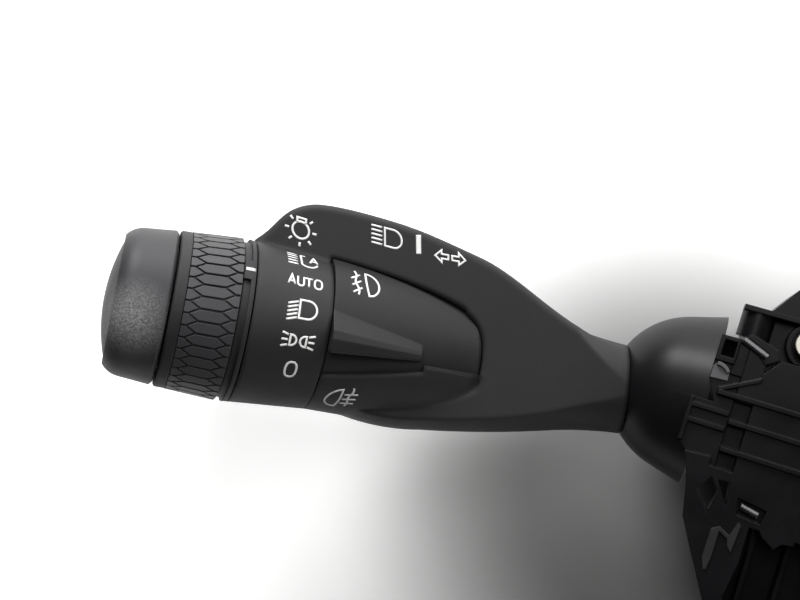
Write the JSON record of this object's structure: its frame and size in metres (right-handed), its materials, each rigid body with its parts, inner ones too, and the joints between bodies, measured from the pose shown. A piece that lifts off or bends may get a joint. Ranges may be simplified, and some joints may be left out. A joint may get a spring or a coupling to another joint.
{
  "type": "combination stalk switch",
  "caption": "Steering column lighting stalk: winged lever with a ribbed light ring, half-round fog knob, end button and dust bell on a ribbed switch housing.",
  "frame": {"origin": "point where the turn-signal pivot axis meets the mounting face of the rear cover", "axes": "+Z out of the mounting face towards the driver, -X along the stalk to its end button, +Y to the side of the stalk's wing"},
  "size_m": [0.2017, 0.111, 0.0816],
  "materials": {
    "housing": "dark satin moulding",
    "board": "coated board",
    "chip": "matt",
    "contact": "tinned",
    "screw": "zinc plated",
    "acetal": "smooth natural",
    "clip": "stamped sheet",
    "bright_rod": "bright",
    "cream": "smooth cream",
    "pale_pad": "pale grey",
    "carrier": "smooth",
    "magnet": "coated",
    "steel_pin": "ground",
    "stalk": "fine satin grain",
    "core": "glass filled",
    "bell": "smooth satin",
    "cap": "fine satin grain",
    "dome": "silicone",
    "ring": "satin",
    "tread": "soft satin",
    "fog": "fine satin grain",
    "button": "fine satin grain"
  },
  "bodies": {
    "base": {"switch_housing": "housing", "housing_deck": "housing", "rear_cover": "housing", "circuit_board": "board", "sensor_chips": "chip", "connector_shroud": "housing", "connector_pins": "contact", "cover_screws": "screw", "detent_cam": "acetal", "carrier_bushes": "acetal", "retaining_clip": "clip", "metal_rods": "bright_rod", "post_bush": "cream", "stop_pad": "pale_pad"},
    "carrier": {"carrier_yoke": "carrier", "turn_magnet": "magnet", "flash_pin": "steel_pin"},
    "stalk": {"stalk_shell": "stalk", "stalk_rear_shell": "stalk", "lever_core": "core", "dust_bell": "bell", "knob_spindle": "core", "end_cap": "cap", "shell_screws": "screw", "stalk_board": "board", "detent_ball": "steel_pin", "button_dome": "dome", "detent_plunger": "acetal", "plunger_spring": "steel_pin"},
    "light_ring": {"ring_carrier": "ring", "ring_tread": "tread"},
    "fog_rocker": {"fog_knob": "fog"},
    "end_button": {"end_button": "button"}
  },
  "joints": [
    {"name": "turn_signal", "type": "hinge", "parent": "base", "child": "carrier", "pos_m": [0, 0, 0.024], "axis": [0, 0, 1], "range_deg": [-7.5, 7.5]},
    {"name": "high_beam_flash", "type": "hinge", "parent": "carrier", "child": "stalk", "pos_m": [0, 0, 0.024], "axis": [0, 1, 0], "range_deg": [-4.5, 4.5], "stiffness_Nm_per_rad": 12},
    {"name": "light_ring", "type": "hinge", "parent": "stalk", "child": "light_ring", "pos_m": [-0.09771, -0.01052, 0.04812], "axis": [-0.8417, -0.1034, 0.5299], "range_deg": [-67.5, 22.5]},
    {"name": "fog_rocker", "type": "hinge", "parent": "stalk", "child": "fog_rocker", "pos_m": [-0.09771, -0.01052, 0.04812], "axis": [-0.8417, -0.1034, 0.5299], "range_deg": [-8, 8], "stiffness_Nm_per_rad": 0.36},
    {"name": "end_button", "type": "slide", "parent": "stalk", "child": "end_button", "axis": [0.8417, 0.1034, -0.5299], "range_m": [0, 0.0012], "stiffness_N_per_m": 2500}
  ]
}
